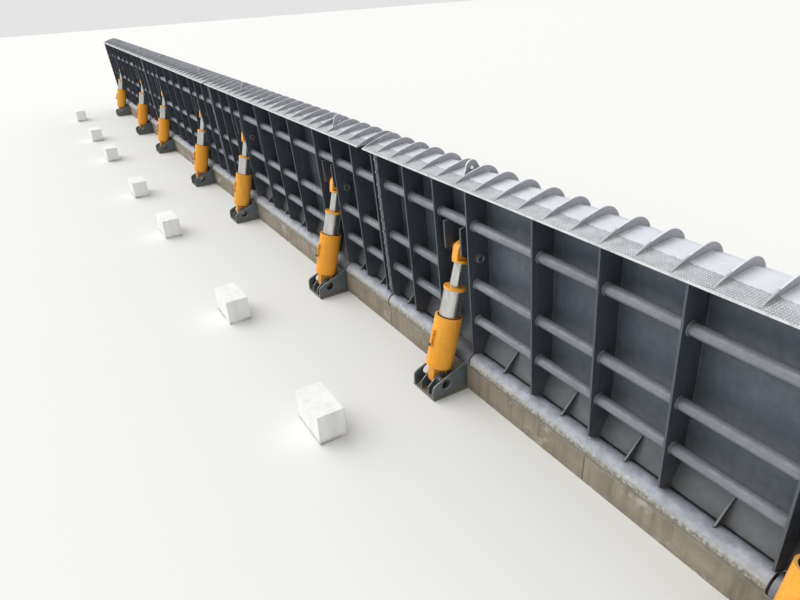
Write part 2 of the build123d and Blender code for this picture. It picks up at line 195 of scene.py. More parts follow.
def mixColour(tree, mask, under, over, strength=1.0):
    if strength != 1.0:
        mask = multiply(tree, mask, strength)
    return addNode(tree, "ShaderNodeMix", {"data_type": "RGBA"}, i0=mask, i6=under, i7=over).outputs[2]


# a grey mask from stretched noise, pushed to black and white between low and high
def noiseMask(tree, place, stretch, low, high, detail=5.0, rough=0.55):
    mapping = addNode(tree, "ShaderNodeMapping", i0=place, Scale=stretch).outputs[0]
    noise = addNode(tree, "ShaderNodeTexNoise", Vector=mapping, Scale=1.0, Detail=detail, Roughness=rough)
    return ramp(tree, noise.outputs[0], low, high)


# each noise by name: its stretch, the greys that turn black and white, then detail and roughness
patterns = {
    "fade": ((1.1, 1.1, 0.8), 0.42, 0.66),
    "wear": ((4, 9, 9), 0.25, 0.6, 6.0),
    "runs": ((26, 26, 1.1), 0.54, 0.68, 3.0),
    "mottle": ((16, 16, 16), 0.40, 0.72, 8.0, 0.7),
    "grimeAndShade": ((9, 9, 9), 0.25, 0.6),
    "dust": ((7, 7, 7), 0.3, 0.62, 7.0, 0.65),
    "mud": ((8, 8, 5), 0.32, 0.6, 8.0, 0.7),
    "chips": ((42, 42, 34), 0.735, 0.765, 4.0, 0.6),
    "orangeChips": ((42, 42, 34), 0.70, 0.73, 4.0, 0.6),
    "worn": ((19, 19, 11), 0.3, 0.55, 5.0),
    "front": ((12, 12, 6), 0.18, 0.5, 6.0, 0.6),
    "ripple": ((5, 5, 5), 0.2, 0.8, 2.0),
    "grain": ((240, 240, 240), 0.2, 0.8, 2.0),
    "crustSway": ((7, 7, 12), 0.25, 0.75, 8.0, 0.72),
    "crustSpeck": ((45, 45, 60), 0.30, 0.70, 6.0, 0.7),
    "crustTint": ((11, 11, 20), 0.35, 0.7, 6.0, 0.65),
    "silt": ((13, 13, 9), 0.3, 0.7, 7.0, 0.66),
    "siltFilm": ((34, 34, 28), 0.32, 0.54, 8.0, 0.74),
    "cloud": ((0.9, 2.2, 2.2), 0.32, 0.68, 8.0, 0.62),
    "stains": ((13, 13, 1.4), 0.46, 0.68, 5.0),
    "patches": ((3.1, 3.1, 4.2), 0.56, 0.70, 7.0, 0.66),
    "algae": ((6, 6, 3), 0.38, 0.62, 7.0, 0.66),
    "lime": ((8, 8, 14), 0.34, 0.56, 8.0, 0.72),
    "wet": ((4, 4, 2), 0.3, 0.6, 6.0),
    "salt": ((17, 17, 24), 0.55, 0.66, 7.0, 0.7),
    "grit": ((130, 130, 130), 0.55, 0.7, 4.0, 0.7),
    "pits": ((21, 21, 21), 0.52, 0.60, 2.0),
    "water": ((9, 9, 3.5), 0.45, 0.7, 7.0, 0.65),
    "spots": ((55, 55, 55), 0.62, 0.68, 3.0),
    "greaseAndShade": ((24, 24, 24), 0.3, 0.6),
    "turned": ((3, 3, 420), 0.25, 0.75, 2.0),
    "rims": ((30, 30, 30), 0.35, 0.6, 5.0),
    "rubberDust": ((30, 30, 30), 0.35, 0.7, 6.0, 0.65),
}


def pattern(tree, place, name):
    return noiseMask(tree, place, *patterns[name])


# bright along worn edges, where a rounded normal leaves the flat one
def edgeMask(tree, radius, low, high):
    bevel = addNode(tree, "ShaderNodeBevel", {"samples": 4}, Radius=radius).outputs[0]
    flat = addNode(tree, "ShaderNodeNewGeometry").outputs["True Normal"]
    return ramp(tree, vectorMaths(tree, "DOT_PRODUCT", bevel, flat), high, low)


# bright in corners and beneath overhangs, where the paints lay grime and the steels grease, each with painted shade
def cornerMask(tree, distance, low, high):
    shade = addNode(tree, "ShaderNodeAmbientOcclusion", {"samples": 6, "only_local": False}, Distance=distance)
    return ramp(tree, shade.outputs["AO"], high, low)


def upMask(tree, low, high):
    normal = addNode(tree, "ShaderNodeNewGeometry").outputs["True Normal"]
    return ramp(tree, addNode(tree, "ShaderNodeSeparateXYZ", i0=normal).outputs[2], low, high)


def heightMask(tree, place, low, high):
    return ramp(tree, addNode(tree, "ShaderNodeSeparateXYZ", i0=place).outputs[2], low, high)


def fromHinge(tree, place):
    return vectorMaths(tree, "SUBTRACT", place, (0, 0, gate["hingeHeight"]))


# bright downstream of a distance across the leaf from its hinge axis
def acrossMask(tree, place, start, stop):
    across = vectorMaths(tree, "DOT_PRODUCT", fromHinge(tree, place), gate["leafAcross"])
    return ramp(tree, across, start, stop)


# a face's normal in the object's own axes, so that a mask stays on it in every pose
def ownNormal(tree):
    world = addNode(tree, "ShaderNodeNewGeometry").outputs["True Normal"]
    settings = {"vector_type": "NORMAL", "convert_from": "WORLD", "convert_to": "OBJECT"}
    return addNode(tree, "ShaderNodeVectorTransform", settings, i0=world).outputs[0]


# how squarely a face looks downstream or along the gate where its mask starts and where it is white
facing = {"front": (0.90, 0.96), "side": (0.80, 0.92)}


# the narrow faces that look downstream at the front of ribs, lugs and seam bar, which get painted light
def frontEdgeMask(tree, place, start, stop):
    downstream = [-part for part in gate["leafAcross"]]
    square = vectorMaths(tree, "DOT_PRODUCT", ownNormal(tree), downstream)
    return multiply(tree, ramp(tree, square, *facing["front"]), acrossMask(tree, place, start, stop))


# bright on faces that look along the gate, either way; these get a painted shade
def sideShadeMask(tree):
    along = addNode(tree, "ShaderNodeSeparateXYZ", i0=ownNormal(tree)).outputs[0]
    return ramp(tree, maths(tree, "ABSOLUTE", along), *facing["side"])


# bright close to the hinge axis, in metres from it
def hingeMask(tree, place, near, far):
    flat = vectorMaths(tree, "MULTIPLY", fromHinge(tree, place), (0, 1, 1))
    return ramp(tree, vectorMaths(tree, "LENGTH", flat), far, near)


def bumpFrom(tree, shader, heights):
    normal = None
    for mask, distance in heights:
        bump = addNode(tree, "ShaderNodeBump", Strength=1.0, Distance=distance, Height=mask)
        if normal is not None:
            tree.links.new(normal, bump.inputs["Normal"])
        normal = bump.outputs[0]
    tree.links.new(normal, shader.inputs["Normal"])


# lime and algae that water leaves below a height, thinning out upwards, with silt over the lower side
def addCrust(tree, place, colour, values):
    band = heightMask(tree, place, *values["rise"])
    sway, speck = pattern(tree, place, "crustSway"), pattern(tree, place, "crustSpeck")
    cloud = maths(tree, "MULTIPLY_ADD", speck, values["speckle"], sway)
    crust = ramp(tree, maths(tree, "ADD", band, cloud), *values["spread"])
    crust = multiply(tree, crust, heightMask(tree, place, *values["foot"]))
    silt = mixColour(tree, pattern(tree, place, "silt"), values["silt"], values["paleSilt"])
    colour = mixColour(tree, heightMask(tree, place, *values["siltFrom"]), colour, silt)
    lime = mixColour(tree, pattern(tree, place, "crustTint"), values["lime"], values["green"])
    colour = mixColour(tree, crust, colour, lime, values["amount"])
    film = multiply(tree, heightMask(tree, place, *values["filmFrom"]), pattern(tree, place, "siltFilm"))
    return crust, mixColour(tree, film, colour, silt)


# brushed site paint with faded patches, run marks, dust on ledges, grime and painted shade in corners and worn edges
def makePaint(name, values):
    material, tree, shader, place = newMaterial(name)
    colour = mixColour(tree, pattern(tree, place, "fade"), values["base"], values["faded"])
    # the paint turns paler lower down, from the upper height in filmFrom to the lower one
    if "film" in values:
        film = heightMask(tree, place, *values["filmFrom"])
        colour = mixColour(tree, film, colour, values["filmColour"], values["film"])
    if "tread" in values:
        wear = between(tree, pattern(tree, place, "wear"), values["treadWorn"], 1.0)
        sheet = multiply(tree, acrossMask(tree, place, *values["treadFrom"]), wear)
        colour = mixColour(tree, sheet, colour, values["tread"])
    # painted shade: faces that look along the gate, the sides of ribs and fins, get a darker copy of the paint
    if "sides" in values:
        colour = mixColour(tree, sideShadeMask(tree), colour, values["sides"])
    colour = mixColour(tree, pattern(tree, place, "runs"), colour, values["runColour"], values["runs"])
    mottle = pattern(tree, place, "mottle")
    colour = mixColour(tree, mottle, colour, values["mottleColour"], values["mottle"])
    # painted shade with grime: corners and overhangs darken towards a near-black
    corners = cornerMask(tree, values["cornerReach"], *values["cornerShade"])
    grimeAndShade = multiply(tree, corners, pattern(tree, place, "grimeAndShade"))
    colour = mixColour(tree, grimeAndShade, colour, values["grimeAndShadeColour"], values["grimeAndShade"])
    dust = multiply(tree, upMask(tree, *values["dustSlope"]), pattern(tree, place, "dust"))
    colour = mixColour(tree, dust, colour, values["dustColour"], values["dust"])
    mud = multiply(tree, heightMask(tree, place, *values["mudFrom"]), pattern(tree, place, "mud"))
    colour = mixColour(tree, mud, colour, values["mudColour"], values["mud"])
    chips = pattern(tree, place, values["chipPattern"])
    colour = mixColour(tree, chips, colour, values["rustColour"], values["chips"])
    edges = edgeMask(tree, values["edgeReach"], *values["edgeBend"])
    worn = multiply(tree, edges, pattern(tree, place, "worn"))
    colour = mixColour(tree, worn, colour, values["edgeColour"], values["edges"])
    # painted shade: faces that look down darken towards the near-black grime and shade colour
    if "under" in values:
        paintedUnderShade = multiply(tree, upMask(tree, *values["underShadeSlope"]), values["under"])
        colour = mixColour(tree, paintedUnderShade, colour, values["grimeAndShadeColour"])
    # painted shade: a dark band close to the hinge axis, in the shadowed slit where the leaf's foot meets the tube
    # and round the knuckles' bores
    if "groove" in values:
        colour = mixColour(tree, hingeMask(tree, place, *values["groove"]), colour, values["grimeAndShadeColour"])
    # painted light on narrow faces that look downstream: shade on the leaf's ribs, a highlight mixed with worn paint
    # on the deck's front lip
    if "front" in values:
        front = multiply(tree, frontEdgeMask(tree, place, *values["frontFrom"]), pattern(tree, place, "front"))
        colour = mixColour(tree, front, colour, values["frontPaintedLightColour"], values["front"])
    if "specular" in values:
        shader.inputs["Specular IOR Level"].default_value = values["specular"]
    sheen = between(tree, mottle, values["smooth"], values["rough"])
    dull = maths(tree, "MAXIMUM", sheen, multiply(tree, dust, values["dustRough"]))
    ripple, grain = pattern(tree, place, "ripple"), pattern(tree, place, "grain")
    heights = [(ripple, values["ripple"]), (grain, values["grain"]), (chips, -values["chipDepth"])]
    if "crust" in values:
        crust, colour = addCrust(tree, place, colour, values["crust"])
        dull = maths(tree, "MAXIMUM", dull, multiply(tree, crust, values["crust"]["rough"]))
        heights.append((crust, values["crust"]["height"]))
    tree.links.new(colour, shader.inputs["Base Color"])
    tree.links.new(dull, shader.inputs["Roughness"])
    bumpFrom(tree, shader, heights)
    return material


paintDefaults = {
    "base": (0.075, 0.095, 0.122, 1),
    "faded": (0.115, 0.138, 0.168, 1),
    "runColour": (0.20, 0.23, 0.26, 1),
    "runs": 0.12,
    "mottleColour": (0.055, 0.068, 0.085, 1),
    "mottle": 0.5,
    "cornerReach": 0.12,
    "cornerShade": (0.35, 0.85),
    # near-black for grime and for painted shade in corners, under the pipes and near the hinge axis
    "grimeAndShadeColour": (0.035, 0.036, 0.036, 1),
    "grimeAndShade": 0.75,
    "dustColour": (0.33, 0.33, 0.31, 1),
    "dust": 0.55,
    "dustSlope": (0.25, 0.9),
    "dustRough": 0.85,
    "mudFrom": (0.62, 0.36),
    "mudColour": (0.22, 0.21, 0.18, 1),
    "mud": 0.45,
    "rustColour": (0.16, 0.075, 0.035, 1),
    "chipPattern": "chips",
    "chips": 0.8,
    "chipDepth": 0.0006,
    "edgeReach": 0.006,
    "edgeBend": (0.72, 0.96),
    "edgeColour": (0.36, 0.40, 0.43, 1),
    "edges": 0.75,
    "smooth": 0.34,
    "rough": 0.58,
    "ripple": 0.004,
    "grain": 0.00025,
}
paints = {
    "leafPaint": {
        # painted shade on the ribs' sides
        "sides": (0.042, 0.050, 0.066, 1),
        "edges": 0.25,
        # painted shade on the narrow front faces of ribs, lugs and seam bars
        "front": 0.6,
        "frontPaintedLightColour": (0.060, 0.072, 0.088, 1),
        "frontFrom": (0.0, -0.02),
        # paler towards the leaf's foot, darker high up
        "film": 0.5,
        "filmFrom": (1.45, 0.75),
        "filmColour": (0.150, 0.168, 0.190, 1),
        # painted shade along the slit between the leaf's foot and the hinge tube
        "groove": (0.098, 0.106),
    },
    "pipePaint": {
        "base": (0.19, 0.205, 0.235, 1),
        "faded": (0.26, 0.275, 0.305, 1),
        "mottleColour": (0.12, 0.13, 0.155, 1),
        "runColour": (0.30, 0.32, 0.34, 1),
        "dustColour": (0.15, 0.158, 0.17, 1),
        "dust": 0.7,
        # painted shade on the pipes' undersides
        "under": 0.75,
        "underShadeSlope": (0.05, -0.75),
        "smooth": 0.26,
        "rough": 0.48,
    },
    "seamPaint": {
        "base": (0.060, 0.075, 0.095, 1),
        "faded": (0.085, 0.105, 0.13, 1),
        "edges": 0.0,
        "dust": 0.2,
    },
    "weldPaint": {
        "base": (0.16, 0.185, 0.205, 1),
        "faded": (0.34, 0.37, 0.39, 1),
        "mottleColour": (0.10, 0.115, 0.13, 1),
        "dust": 0.4,
    },
    "tackPaint": {
        "base": (0.66, 0.67, 0.69, 1),
        "faded": (0.78, 0.79, 0.80, 1),
        "mottleColour": (0.45, 0.46, 0.48, 1),
    },
    "treadPaint": {
        "base": (0.84, 0.85, 0.87, 1),
        "faded": (0.88, 0.88, 0.89, 1),
        "mottleColour": (0.66, 0.67, 0.69, 1),
        "dust": 0.0,
    },
    "crestPaint": {
        "base": (0.675, 0.71, 0.77, 1),
        "faded": (0.76, 0.795, 0.84, 1),
        # painted shade on the fins' sides
        "sides": (0.335, 0.335, 0.365, 1),
        "mottleColour": (0.50, 0.52, 0.56, 1),
        "tread": (0.195, 0.205, 0.225, 1),
        "treadFrom": (0.119, 0.118),
        "treadWorn": 0.75,
        "runColour": (0.52, 0.54, 0.55, 1),
        "dustColour": (0.66, 0.67, 0.70, 1),
        "dust": 0.5,
        "edgeColour": (0.80, 0.81, 0.82, 1),
        "grimeAndShade": 0.5,
        # painted highlight, with worn paint, on the deck's front lip
        "front": 0.9,
        "frontPaintedLightColour": (0.80, 0.81, 0.82, 1),
        "frontFrom": (-0.05, -0.056),
    },
    "tubePaint": {
        "base": (0.43, 0.455, 0.52, 1),
        "faded": (0.51, 0.53, 0.59, 1),
        "mottleColour": (0.21, 0.22, 0.25, 1),
        "mottle": 0.6,
        "runColour": (0.40, 0.41, 0.43, 1),
        "dustColour": (0.21, 0.22, 0.245, 1),
        "dust": 0.75,
        "mud": 0.0,
        "crust": {
            "rise": (0.394, 0.318),
            "foot": (0.300, 0.312),
            "spread": (0.84, 1.46),
            "speckle": 0.45,
            "siltFrom": (0.316, 0.302),
            "silt": (0.155, 0.133, 0.098, 1),
            "paleSilt": (0.315, 0.29, 0.245, 1),
            "lime": (0.73, 0.745, 0.73, 1),
            "green": (0.52, 0.58, 0.54, 1),
            "amount": 0.9,
            "filmFrom": (0.375, 0.333),
            "rough": 0.9,
            "height": 0.004,
        },
    },
    # painted shade: the knuckles get a darker, bluer copy of the tube's paint, without its crust, for the leaf's
    # shadow over them
    "shadedKnucklePaint": {
        "base": (0.165, 0.187, 0.23, 1),
        "faded": (0.22, 0.245, 0.29, 1),
        "mottleColour": (0.11, 0.123, 0.148, 1),
        "grimeAndShade": 0.3,
        "mud": 0.0,
        # painted shade on the knuckles' ends close to their bore
        "groove": (0.055, 0.065),
    },
    "bracketPaint": {
        "base": (0.092, 0.117, 0.126, 1),
        "faded": (0.135, 0.163, 0.170, 1),
        "mudFrom": (0.085, 0.0),
        "mudColour": (0.20, 0.155, 0.09, 1),
        "mud": 0.85,
        "edgeColour": (0.52, 0.55, 0.56, 1),
        "edges": 1.0,
    },
    "cylinderOrange": {
        "base": (0.93, 0.395, 0.036, 1),
        "faded": (0.95, 0.455, 0.06, 1),
        "specular": 0.22,
        "runColour": (0.62, 0.24, 0.04, 1),
        "runs": 0.35,
        "mottleColour": (0.80, 0.29, 0.026, 1),
        "mottle": 0.4,
        "grimeAndShadeColour": (0.14, 0.07, 0.03, 1),
        "grimeAndShade": 0.7,
        "dustColour": (0.70, 0.52, 0.34, 1),
        "dust": 0.35,
        "mudFrom": (0.34, 0.02),
        "mudColour": (0.26, 0.17, 0.08, 1),
        "mud": 0.7,
        "chipPattern": "orangeChips",
        "edgeColour": (0.93, 0.60, 0.28, 1),
        "edges": 0.6,
        "smooth": 0.30,
        "rough": 0.50,
        "ripple": 0.0008,
    },
}
finishes = {name: makePaint(name, {**paintDefaults, **changes}) for name, changes in paints.items()}

concreteDefaults = {
    "base": (0.250, 0.206, 0.147, 1),
    "pale": (0.350, 0.305, 0.240, 1),
    "swell": 0.006,
    "stain": (0.158, 0.140, 0.100, 1),
    "stains": 0.75,
    "chalk": (0.66, 0.64, 0.58, 1),
    "chalkAmount": 0.7,
    "algae": (0.17, 0.18, 0.11, 1),
    "algaeFrom": (0.14, 0.27),
    "algaeAmount": 0.55,
    "lime": (0.56, 0.58, 0.52, 1),
    "limeFrom": (0.238, 0.262),
    "limeAmount": 0.8,
    "wet": (0.15, 0.115, 0.07, 1),
    "wetFrom": (0.10, 0.0),
    "wetAmount": 0.85,
    "wetRough": 0.35,
    "dryRough": 0.9,
    "salt": (0.56, 0.58, 0.52, 1),
    "saltFrom": (0.045, 0.0),
    "saltAmount": 0.85,
    "grit": (0.30, 0.29, 0.26, 1),
    "gritAmount": 0.6,
    "gritHeight": 0.0012,
    "pitScale": 95.0,
    "pitSize": (0.16, 0.02),
    "pitAmount": 0.9,
    "pitDepth": 0.003,
}
blockChanges = {
    "base": (0.90, 0.90, 0.88, 1),
    "pale": (0.94, 0.94, 0.92, 1),
    "stain": (0.66, 0.64, 0.58, 1),
    "stains": 0.3,
    "chalk": (0.86, 0.86, 0.83, 1),
    "algaeAmount": 0.0,
    "limeFrom": (2.0, 3.0),
    "wetFrom": (0.05, 0.0),
    "grit": (0.52, 0.51, 0.48, 1),
}


def makeConcrete(name, values):
    material, tree, shader, place = newMaterial(name)
    cloud = pattern(tree, place, "cloud")
    colour = mixColour(tree, cloud, values["base"], values["pale"])
    colour = mixColour(tree, pattern(tree, place, "stains"), colour, values["stain"], values["stains"])
    colour = mixColour(tree, pattern(tree, place, "patches"), colour, values["chalk"], values["chalkAmount"])
    masks = {}
    for layer in ("algae", "lime", "wet", "salt"):
        height = heightMask(tree, place, *values[layer + "From"])
        masks[layer] = multiply(tree, height, pattern(tree, place, layer))
        colour = mixColour(tree, masks[layer], colour, values[layer], values[layer + "Amount"])
    grit = pattern(tree, place, "grit")
    colour = mixColour(tree, grit, colour, values["grit"], values["gritAmount"])
    cells = addNode(tree, "ShaderNodeTexVoronoi", Vector=place, Scale=values["pitScale"])
    holes = ramp(tree, cells.outputs["Distance"], *values["pitSize"])
    pits = multiply(tree, holes, pattern(tree, place, "pits"))
    colour = mixColour(tree, pits, colour, values["stain"], values["pitAmount"])
    tree.links.new(colour, shader.inputs["Base Color"])
    gloss = between(tree, masks["wet"], values["dryRough"], values["wetRough"])
    tree.links.new(gloss, shader.inputs["Roughness"])
    bumpFrom(tree, shader, [(cloud, values["swell"]), (grit, values["gritHeight"]), (pits, -values["pitDepth"])])
    return material


finishes["kerbConcrete"] = makeConcrete("kerbConcrete", concreteDefaults)
finishes["blockConcrete"] = makeConcrete("blockConcrete", {**concreteDefaults, **blockChanges})

steelDefaults = {
    "metallic": 0.9,
    "smooth": 0.3,
    "stains": 0.55,
    "spots": 0.6,
    "spotHeight": 0.0002,
    "turnedHeight": 0.0001,
    "cornerShade": (0.05, 0.3, 0.8),
    # dark of grease and of painted shade in corners
    "greaseAndShade": (0.06, 0.05, 0.04, 1),
    "greaseAndShadeAmount": 0.8,
    "coatFade": 0.0005,
    "coatEdge": (0.004, 0.72, 0.96),
    "coatWorn": 0.8,
    "coatGrimeAndShade": 0.7,
    "coatRough": 0.4,
}
# above orangeFrom, in metres from the base pin along the cylinder, the steel is painted orange
steels = {
    "stageSteel": {
        "base": (0.62, 0.62, 0.60, 1),
        "stain": (0.36, 0.35, 0.33, 1),
        "smooth": 0.16,
        "rough": 0.42,
        "orangeFrom": 0.9245,
    },
    "rodSteel": {
        "base": (0.66, 0.66, 0.64, 1),
        "stain": (0.42, 0.41, 0.39, 1),
        "smooth": 0.18,
        "rough": 0.45,
        "orangeFrom": 1.190,
    },
    "pinSteel": {"base": (0.34, 0.33, 0.31, 1), "stain": (0.17, 0.11, 0.06, 1), "rough": 0.6},
    "boltSteel": {"base": (0.40, 0.40, 0.39, 1), "stain": (0.20, 0.13, 0.08, 1), "rough": 0.65},
}


def orangeMask(tree, place, start, fade):
    fromPin = vectorMaths(tree, "SUBTRACT", place, (0, *gate["basePin"]))
    along = vectorMaths(tree, "DOT_PRODUCT", fromPin, gate["cylinderAlong"])
    return ramp(tree, along, start, start + fade)


def makeSteel(name, values):
    material, tree, shader, place = newMaterial(name, values["metallic"])
    water = pattern(tree, place, "water")
    colour = mixColour(tree, water, values["base"], values["stain"], values["stains"])
    spots = pattern(tree, place, "spots")
    colour = mixColour(tree, spots, colour, values["stain"], values["spots"])
    # grease and painted shade: corners and recesses darken through ambient occlusion
    greaseAndShade = multiply(tree, cornerMask(tree, *values["cornerShade"]), pattern(tree, place, "greaseAndShade"))
    colour = mixColour(tree, greaseAndShade, colour, values["greaseAndShade"], values["greaseAndShadeAmount"])
    turned = pattern(tree, place, "turned")
    gloss = between(tree, water, values["smooth"], values["rough"])
    if "orangeFrom" in values:
        orange = orangeMask(tree, place, values["orangeFrom"], values["coatFade"])
        paint = paints["cylinderOrange"]
        coat = mixColour(tree, pattern(tree, place, "mottle"), paint["base"], paint["faded"])
        worn = multiply(tree, edgeMask(tree, *values["coatEdge"]), pattern(tree, place, "rims"))
        coat = mixColour(tree, worn, coat, paint["edgeColour"], values["coatWorn"])
        coat = mixColour(tree, greaseAndShade, coat, paint["grimeAndShadeColour"], values["coatGrimeAndShade"])
        colour = mixColour(tree, orange, colour, coat)
        tree.links.new(between(tree, orange, values["metallic"], 0.0), shader.inputs["Metallic"])
        both = addNode(tree, "ShaderNodeMix", {"data_type": "FLOAT"}, i0=orange, i2=gloss, i3=values["coatRough"])
        gloss = both.outputs[0]
    tree.links.new(colour, shader.inputs["Base Color"])
    tree.links.new(gloss, shader.inputs["Roughness"])
    bumpFrom(tree, shader, [(turned, values["turnedHeight"]), (spots, values["spotHeight"])])
    return material


for name, changes in steels.items():
    finishes[name] = makeSteel(name, {**steelDefaults, **changes})

nodeFinishes = {
    "kerb": "kerbConcrete",
    "floor_brackets": "bracketPaint",
    "base_pins": "pinSteel",
    "hinge_knuckles": "shadedKnucklePaint",
    "rest_blocks": "blockConcrete",
    "skin": "leafPaint",
    "ribs": "leafPaint",
    "pipes": "pipePaint",
    "crest": "crestPaint",
    "hinge_tubes": "tubePaint",
    "barrel": "cylinderOrange",
    "stage": "stageSteel",
    "rod": "rodSteel",
}
for nodeName, node in nodes.items():
    words = nodeName.split("_", 2)
    kind = words[2] if words[0] in ("leaf", "cylinder") else nodeName
    node.data.materials.clear()
    node.data.materials.append(finishes[nodeFinishes[kind]])

rubberSeal = {"base": (0.018, 0.018, 0.018, 1), "dusty": (0.09, 0.085, 0.075, 1), "rough": 0.65, "grain": 0.0004}


def makeRubber(name, values):
    material, tree, shader, place = newMaterial(name)
    dust = pattern(tree, place, "rubberDust")
    tree.links.new(mixColour(tree, dust, values["base"], values["dusty"]), shader.inputs["Base Color"])
    shader.inputs["Roughness"].default_value = values["rough"]
    bumpFrom(tree, shader, [(dust, values["grain"])])
    return material


finishes["rubber"] = makeRubber("rubber", rubberSeal)

print("stage: helpers for the added pieces")


def leafPlace(number):
    middle = gate["leafMiddles"][number - 1]
    return Matrix.Translation((middle, 0, gate["hingeHeight"])) @ Matrix.Rotation(math.radians(gate["lean"]), 4, "X")


def cylinderPlace(number):
    spot = Matrix.Translation((cylinderMiddles[number - 1], *gate["basePin"]))
    return spot @ Matrix.Rotation(-math.radians(gate["cylinderLean"]), 4, "X")


# points, or edges between them, that a node tree grows pieces on
def seedMesh(name, spots, turns=None, edges=()):
    mesh = bpy.data.meshes.new(name)
    mesh.from_pydata([tuple(spot) for spot in spots], list(edges), [])
    if turns is not None:
        attribute = mesh.attributes.new("turn", "FLOAT_VECTOR", "POINT")
        for index, turn in enumerate(turns):
            attribute.data[index].vector = [math.radians(a) for a in turn]
    return mesh


def newTree(name, sizes):
    tree = bpy.data.node_groups.new(name, "GeometryNodeTree")
    tree.interface.new_socket("Geometry", in_out="INPUT", socket_type="NodeSocketGeometry")
    tree.interface.new_socket("Geometry", in_out="OUTPUT", socket_type="NodeSocketGeometry")
    for label, value in sizes.items():
        kind = "NodeSocketInt" if isinstance(value, int) else "NodeSocketFloat"
        tree.interface.new_socket(label, in_out="INPUT", socket_type=kind).default_value = value
    tree.interface.new_socket("Material", in_out="INPUT", socket_type="NodeSocketMaterial")
    entry = tree.nodes.new("NodeGroupInput")
    return tree, entry.outputs


def endTree(tree, entry, geometry, smooth=False):
    solid = addNode(tree, "GeometryNodeRealizeInstances", i0=geometry).outputs[0]
    shaded = addNode(tree, "GeometryNodeSetShadeSmooth", i0=solid).outputs[0] if smooth else solid
    painted = addNode(tree, "GeometryNodeSetMaterial", i0=shaded, Material=entry["Material"])
    leave = tree.nodes.new("NodeGroupOutput")
    tree.links.new(painted.outputs[0], leave.inputs[0])


# a mesh that a tree grows on its seeds, with the sizes that the tree takes by name
def grow(name, tree, seeds, sizes, seed, finish):
    values = {**sizes, "Seed": seed, "Material": finishes[finish]}
    holder = bpy.data.objects.new(name + "Seeds", seeds)
    bpy.context.collection.objects.link(holder)
    modifier = holder.modifiers.new("grow", "NODES")
    modifier.node_group = tree
    for item in tree.interface.items_tree:
        if item.item_type == "SOCKET" and item.in_out == "INPUT" and item.name in values:
            modifier[item.identifier] = values[item.name]
    graph = bpy.context.evaluated_depsgraph_get()
    mesh = bpy.data.meshes.new_from_object(holder.evaluated_get(graph))
    mesh.name = name
    bpy.data.objects.remove(holder)
    return mesh


def addPiece(mesh, body):
    piece = bpy.data.objects.new(mesh.name, mesh)
    bpy.context.collection.objects.link(piece)
    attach(piece, body)


def addToLeaf(number, mesh, lay=Matrix.Identity(4)):
    mesh.transform(leafPlace(number) @ lay)
    addPiece(mesh, "leaf_%d" % number)


# a disc with so many sides that stands on z = foot
def disc(tree, sides, radius, height, foot):
    shape = addNode(tree, "GeometryNodeMeshCylinder", Vertices=sides, Radius=radius, Depth=height).outputs[0]
    lift = addNode(tree, "ShaderNodeCombineXYZ", Z=maths(tree, "MULTIPLY_ADD", height, 0.5, foot)).outputs[0]
    return addNode(tree, "GeometryNodeTransform", i0=shape, Translation=lift).outputs[0]


def copyOnto(tree, points, shape, **settings):
    return addNode(tree, "GeometryNodeInstanceOnPoints", Points=points, Instance=shape, **settings).outputs[0]


boltSides = {"Washer": 20, "Head": 6, "Stud": 12}


# washer, head or nut and stud end on every seed, each turned a little differently
def makeBoltTree():
    sizes = {"Head Radius": 0.0139, "Head Height": 0.01, "Washer Radius": 0.016, "Washer Height": 0.0025}
    sizes.update({"Stud Radius": 0.008, "Stud Height": 0.0, "Seed": 1})
    tree, entry = newTree("boltHeads", sizes)
    bolt = addNode(tree, "GeometryNodeJoinGeometry")
    for part, sides in boltSides.items():
        foot = 0.0 if part == "Washer" else entry["Washer Height"]
        shape = disc(tree, sides, entry[part + " Radius"], entry[part + " Height"], foot)
        tree.links.new(shape, bolt.inputs[0])
    twist = addNode(tree, "FunctionNodeRandomValue", {"data_type": "FLOAT"}, i3=math.pi / 3, Seed=entry["Seed"])
    turn = addNode(tree, "GeometryNodeInputNamedAttribute", {"data_type": "FLOAT_VECTOR"}, Name="turn").outputs[0]
    own = addNode(tree, "ShaderNodeCombineXYZ", Z=twist.outputs[1]).outputs[0]
    both = addNode(tree, "FunctionNodeRotateRotation", {"rotation_space": "LOCAL"}, i0=turn, i1=own).outputs[0]
    endTree(tree, entry, copyOnto(tree, entry["Geometry"], bolt.outputs[0], Rotation=both))
    return tree


# pushes a bead's surface in and out like hand welding
def rippled(tree, entry, geometry):
    inputs = {"W": entry["Seed"], "Scale": entry["Ripple Scale"], "Detail": 1.0}
    place = addNode(tree, "GeometryNodeInputPosition").outputs[0]
    noise = addNode(tree, "ShaderNodeTexNoise", {"noise_dimensions": "4D"}, Vector=place, **inputs)
    push = multiply(tree, maths(tree, "SUBTRACT", noise.outputs[0], 0.5), entry["Ripple"])
    normal = addNode(tree, "GeometryNodeInputNormal").outputs[0]
    offset = addNode(tree, "ShaderNodeVectorMath", {"operation": "SCALE"}, i0=normal, Scale=push).outputs[0]
    return addNode(tree, "GeometryNodeSetPosition", Geometry=geometry, Offset=offset).outputs[0]


def sweepBead(tree, entry, path, caps):
    circle = {"Resolution": entry["Sides"], "Radius": entry["Bead Radius"]}
    ring = addNode(tree, "GeometryNodeCurvePrimitiveCircle", **circle).outputs[0]
    inputs = {"Profile Curve": ring, "Fill Caps": caps}
    return addNode(tree, "GeometryNodeCurveToMesh", i0=path, **inputs).outputs[0]


